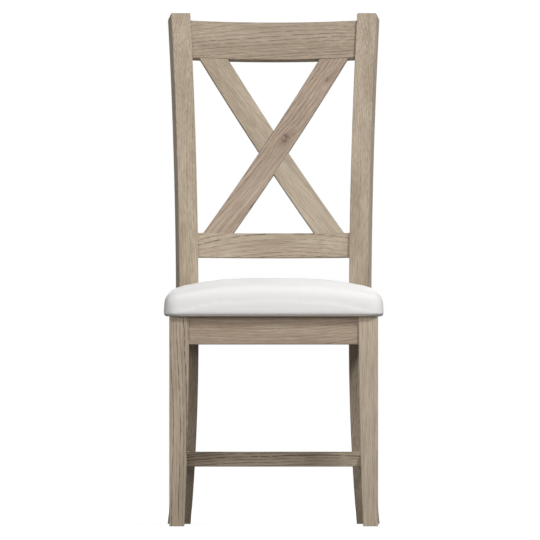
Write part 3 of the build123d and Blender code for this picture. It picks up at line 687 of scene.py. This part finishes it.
def blown(mesh, floor):
    """Cloth over a closed mesh, blown out by air from inside while the underside is held."""
    obj = placed("pad_blow", mesh)
    held = obj.vertex_groups.new(name="held")
    under = np.flatnonzero(points_of(mesh)[:, 2] < floor + PAD_FLAT)
    held.add(under.tolist(), 1.0, "REPLACE")
    cloth = obj.modifiers.new("cloth", "CLOTH")
    cloth.settings.quality = PAD_CLOTH_STEPS
    cloth.settings.mass = PAD_CLOTH_MASS
    cloth.settings.use_pressure = True
    cloth.settings.uniform_pressure_force = PAD_PRESSURE
    cloth.settings.vertex_group_mass = "held"
    cloth.settings.effector_weights.gravity = 0.0
    cloth.point_cache.frame_start = 1
    cloth.point_cache.frame_end = PAD_FRAMES
    scene = bpy.context.scene
    for step in range(1, PAD_FRAMES + 1):
        scene.frame_set(step)
    result = mesh_of(obj)
    bpy.data.objects.remove(obj)
    scene.frame_set(1)
    return result


def drawn_over(mesh, core, top, clearance):
    """The same mesh drawn twice as fine, with every point below a core's top kept clear of it."""
    obj = placed("pad_fit", mesh)
    finer = obj.modifiers.new("finer", "SUBSURF")
    finer.levels = 1
    finer.render_levels = 1
    clear = obj.modifiers.new("clear", "SHRINKWRAP")
    clear.target = core
    clear.wrap_mode = "OUTSIDE"
    clear.offset = clearance
    clear.vertex_group = group_between(obj, "beside_core", top, top - PAD_FIT_BAND)
    return taken_off(obj)


def lay_weave(mesh, top):
    """The cloth's own measure on a mesh: the place in plan, led outwards by the drop from the top."""
    points = points_of(mesh)
    flat = points[:, :2] + normals_of(mesh)[:, :2] * (top - points[:, 2:])
    corners = np.empty(len(mesh.loops), int)
    mesh.loops.foreach_get("vertex_index", corners)
    mesh.uv_layers.new(name="weave").data.foreach_set("uv", flat[corners].ravel())


core_mesh = bpy.data.meshes.new("pad_core")
core = bmesh.new()
for name in ("seat_board", "seat_foam", "seat_cover"):
    core.from_mesh(nodes[name].data)
bmesh.ops.remove_doubles(core, verts=core.verts, dist=WELD)
core.to_mesh(core_mesh)
core.free()
cover_low, cover_high = (np.array(corner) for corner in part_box("seat_cover"))
board_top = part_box("seat_board")[1][2]
soft_from = cover_low[2] + PAD_SOFT_FROM
soft_to = cover_low[2] + PAD_SOFT_TO
cloth_mesh = softened(remade(core_mesh, PAD_VOXEL), soft_from, soft_to, PAD_SOFT_ROUNDS)
start = points_of(cloth_mesh)
normal = normals_of(cloth_mesh)
shaped = start.copy()
pull = points_of(blown(cloth_mesh.copy(), start[:, 2].min())) - start
out = (pull * normal).sum(axis=1, keepdims=True)
creep = pull - out * normal
reach = np.maximum(np.linalg.norm(creep, axis=1, keepdims=True), 1e-9)
shaped += np.clip(out, -PAD_GIVE, PAD_SWELL) * normal
shaped += creep * np.minimum(1.0, PAD_CREEP / reach)

# Smoothing draws the rounds in, so they are filled out again, most where they stand at 45 degrees.
# The foam then stands full to both sides of the middle, so the top is flatter than an arc.
above = np.clip((start[:, 2:] - board_top) / (cover_high[2] - board_top), 0.0, 1.0)
level = np.clip(normal[:, 2:], 0.0, 1.0) ** 2
shaped += normal * PAD_REFILL * 4.0 * level * (1.0 - level)
full = np.sin(np.pi * np.abs(start[:, 0]) / PAD_WAVE) ** 2
shaped[:, 2] += above[:, 0] * (PAD_FULLNESS * full - PAD_SETTLE)
set_points(cloth_mesh, shaped)
pad_mesh = drawn_over(cloth_mesh, nodes["seat_board"], board_top, COVER_CLEARANCE)
pad_mesh.name = "upholstered_pad"
pad_mesh.shade_smooth()
lay_weave(pad_mesh, cover_high[2])

# The lowest strip turns under the board, so its shading is turned down too, most at the edge.
tuck = np.clip((cover_low[2] + PAD_TUCK - points_of(pad_mesh)[:, 2:]) / PAD_TUCK, 0.0, 1.0) ** 2
turned = normals_of(pad_mesh) - PAD_TUCK_TILT * tuck * np.array(UPRIGHT)
turned /= np.linalg.norm(turned, axis=1, keepdims=True)
pad_mesh.normals_split_custom_set_from_vertices(turned)
pad = placed("upholstered_pad", pad_mesh)

WEAVE_PITCH = 0.0011
WEAVE_RELIEF = 0.5
WEAVE_DEPTH = 0.00025
COTTON_SHEEN = 0.25
COTTON_HAZE = 7.0
COTTON_SLUBS = 160.0
COTTON_PALE = (0.813, 0.799, 0.790)
COTTON_DULL = (0.798, 0.783, 0.773)
COTTON_SLUB = (0.66, 0.645, 0.615)
COTTON_GAP = (0.55, 0.535, 0.51)
cotton = Finish("off_white_cotton", 0.86)
cotton.shader.inputs["Sheen Weight"].default_value = COTTON_SHEEN
cotton.shader.inputs["Sheen Roughness"].default_value = 0.5
threads = cotton.tree.nodes.new("ShaderNodeSeparateXYZ")
cotton.feed(threads.inputs[0], cotton.place.outputs["UV"])
warp = cotton.calc("SINE", cotton.times(threads.outputs[0], np.pi / WEAVE_PITCH))
weft = cotton.calc("SINE", cotton.times(threads.outputs[1], np.pi / WEAVE_PITCH))
weave = cotton.times(warp, weft)
haze = cotton.noise(cotton.place.outputs["Object"], COTTON_HAZE, 3.0)
slub = cotton.noise(cotton.place.outputs["Object"], COTTON_SLUBS, 2.0)
cotton_tone = cotton.blend(cotton.ease(haze, 0.3, 0.7), COTTON_PALE, COTTON_DULL)
cotton_tone = cotton.blend(cotton.ease(slub, 0.45, 0.75, 0.0, 0.09), cotton_tone, COTTON_SLUB)
cotton.colour(cotton.blend(cotton.ease(weave, -1.0, 0.2, 0.10, 0.0), cotton_tone, COTTON_GAP))
cotton.bump(cotton.plus(cotton.times(weave, WEAVE_RELIEF), slub), WEAVE_DEPTH, 0.5)
cotton.dress(pad, "seat_cover")
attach(pad, "root")
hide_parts("seat_cover", "seat_foam")


# Dust cover. A thin black non-woven cloth stapled under the pad, inside the seat frame, with a
# slight sag. Cut to the frame's opening, with a notch for each leg.
DUST_SAG = 0.0015
DUST_THICKNESS = 0.0005
DUST_BELOW = 0.0003
DUST_STEP = 0.012
DUST_RINGS = 14

# Right half of its outline: front edge, front leg's notch, side, and the turned rear leg's notch.
DUST_HALF = np.array(
    [
        (0.1705, -0.2376),
        (0.1705, -0.2246),
        (0.1834, -0.2246),
        (0.1645, 0.1256),
        (0.1515, 0.1277),
        (0.1542, 0.1440),
    ]
)
dust_outline = np.concatenate([DUST_HALF, DUST_HALF[::-1] * (-1.0, 1.0)])


def outline_points(corners, step):
    """Points at about even steps round a closed outline, its corners among them."""
    runs = []
    for first, last in zip(corners, np.roll(corners, -1, axis=0)):
        count = max(1, int(round(np.linalg.norm(last - first) / step)))
        runs.append(first + (last - first) * (np.arange(count) / count)[:, None])
    return np.concatenate(runs)


def ring_sheet(name, rim, level, sag, rings):
    """A sheet in rings from its rim to its middle. Each ring is the rim drawn in by a share, and it
    hangs below the rim by the sag times one less the square of that share."""
    count = len(rim)
    share = np.linspace(1.0, 0.0, rings + 1)[:-1]
    centre = rim.mean(axis=0)
    flat = centre + share[:, None, None] * (rim - centre)
    drop = np.repeat(level - sag * (1.0 - share**2), count).reshape(rings, count, 1)
    points = np.concatenate([flat, drop], axis=2).reshape(-1, 3)
    points = np.vstack([points, (*centre, level - sag)])
    ring, place = np.meshgrid(np.arange(rings - 1), np.arange(count), indexing="ij")
    here = ring * count
    inner = here + count
    beside = (place + 1) % count
    quads = np.stack([here + place, inner + place, inner + beside, here + beside], axis=-1)
    last = (rings - 1) * count + np.arange(count)
    fan = np.stack([last, np.full(count, len(points) - 1), np.roll(last, -1)], axis=-1)
    mesh = bpy.data.meshes.new(name)
    mesh.from_pydata(points.tolist(), [], quads.reshape(-1, 4).tolist() + fan.tolist())
    mesh.update()
    return placed(name, mesh)


dust_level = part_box("dust_cover")[1][2] - DUST_BELOW
dust_rim = outline_points(dust_outline, DUST_STEP)
dust = ring_sheet("dust_cloth", dust_rim, dust_level, DUST_SAG, DUST_RINGS)
dust.data.shade_smooth()
thick = dust.modifiers.new("thick", "SOLIDIFY")
thick.thickness = DUST_THICKNESS
thick.offset = 0.0
DUST_BLACK = (0.014, 0.014, 0.015)
DUST_GREY = (0.045, 0.045, 0.047)
DUST_FIBRES = 900.0
DUST_RELIEF = 0.0002
black = Finish("dust_cloth_black", 0.9)
felt = black.noise(black.place.outputs["Object"], DUST_FIBRES, 3.0)
black.colour(black.blend(black.ease(felt, 0.35, 0.7), DUST_BLACK, DUST_GREY))
black.bump(felt, DUST_RELIEF, 0.6)
black.dress(dust, "dust_cloth")
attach(dust, "root")
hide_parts("dust_cover")


# The picture. A plain pale floor in a white room, a key light from above to the right, softer
# light from the front, the right and behind, and a long lens square to the front, level with the
# middle of the chair.
def board_of_light(name, place, target, size, watts):
    """A round soft lamp at a place, turned to a target."""
    lamp = bpy.data.lights.new(name, "AREA")
    lamp.shape = "DISK"
    lamp.size = size
    lamp.energy = watts
    obj = placed(name, lamp)
    aim = np.array(place) - np.array(target)
    tilt = np.arctan2(np.hypot(aim[0], aim[1]), aim[2])
    obj.location = place
    obj.rotation_euler = (tilt, 0.0, np.arctan2(aim[0], -aim[1]))


SEAT_MIDDLE = (0.0, 0.0, 0.5)
APRON_MIDDLE = (0.0, 0.0, 0.45)
board_of_light("key_light", (1.4, -2.3, 2.9), APRON_MIDDLE, size=0.9, watts=83.0)
board_of_light("front_light", (-0.9, -3.5, 1.6), SEAT_MIDDLE, size=1.8, watts=49.0)
board_of_light("side_light", (3.2, -0.8, 1.2), SEAT_MIDDLE, size=2.0, watts=13.0)
board_of_light("back_light", (0.2, 3.2, 1.75), SEAT_MIDDLE, size=2.0, watts=94.0)


def seen_directly(tree):
    """One where the camera looks at a surface, or sees it in metal or through glass, and else none."""
    path = tree.nodes.new("ShaderNodeLightPath")
    seen = path.outputs["Is Camera Ray"]
    for extra in ("Is Glossy Ray", "Is Transmission Ray"):
        either = tree.nodes.new("ShaderNodeMath")
        either.operation = "MAXIMUM"
        tree.links.new(seen, either.inputs[0])
        tree.links.new(path.outputs[extra], either.inputs[1])
        seen = either.outputs[0]
    return seen


WHITE = (1.0, 1.0, 1.0, 1.0)
ROOM_LIGHT = 0.17
world = bpy.data.worlds.new("white_room")
bpy.context.scene.world = world
world.use_nodes = True
room = world.node_tree
light = room.nodes["Background"]
light.inputs["Color"].default_value = WHITE
light.inputs["Strength"].default_value = ROOM_LIGHT
backdrop = room.nodes.new("ShaderNodeBackground")
backdrop.inputs["Color"].default_value = WHITE
backdrop.inputs["Strength"].default_value = 1.0
choice = room.nodes.new("ShaderNodeMixShader")
room.links.new(seen_directly(room), choice.inputs[0])
room.links.new(light.outputs[0], choice.inputs[1])
room.links.new(backdrop.outputs[0], choice.inputs[2])
room.links.new(choice.outputs[0], room.nodes["World Output"].inputs["Surface"])

FLOOR_HALF = 4.0
FLOOR_GREY = (0.16, 0.16, 0.16, 1.0)
FLOOR_NEAR = 0.4
FLOOR_FAR = 2.4
FLOOR_NEAR_GLOW = 0.89
floor_mesh = bpy.data.meshes.new("pale_floor")
floor_mesh.from_pydata(
    [
        (-FLOOR_HALF, -FLOOR_HALF, 0.0),
        (FLOOR_HALF, -FLOOR_HALF, 0.0),
        (FLOOR_HALF, FLOOR_HALF, 0.0),
        (-FLOOR_HALF, FLOOR_HALF, 0.0),
    ],
    [],
    [(0, 1, 2, 3)],
)
floor_piece = placed("pale_floor", floor_mesh)
pale_floor = Finish("pale_floor", 1.0)
pale_floor.colour(FLOOR_GREY)
pale_floor.shader.inputs["Specular IOR Level"].default_value = 0.0
pale_floor.shader.inputs["Emission Color"].default_value = WHITE
away = pale_floor.tree.nodes.new("ShaderNodeVectorMath")
away.operation = "LENGTH"
pale_floor.feed(away.inputs[0], pale_floor.place.outputs["Object"])
paleness = pale_floor.ease(away.outputs["Value"], FLOOR_NEAR, FLOOR_FAR, FLOOR_NEAR_GLOW, 1.0)
glow = pale_floor.times(seen_directly(pale_floor.tree), paleness)
pale_floor.feed(pale_floor.shader.inputs["Emission Strength"], glow)
floor_mesh.materials.append(pale_floor.material)

LENS = 1700.0
SENSOR = 36.0
FRAME_WIDTH = 1.10468
CAMERA_SIDE = -0.0076
CAMERA_HEIGHT = 0.5218
lens = bpy.data.cameras.new("front_camera")
lens.lens = LENS
lens.sensor_width = SENSOR
lens.clip_start = 1.0
lens.clip_end = 200.0
camera = placed("front_camera", lens)
camera.location = (CAMERA_SIDE, -FRAME_WIDTH * LENS / SENSOR, CAMERA_HEIGHT)
camera.rotation_euler = (np.pi / 2, 0.0, 0.0)
bpy.context.scene.camera = camera
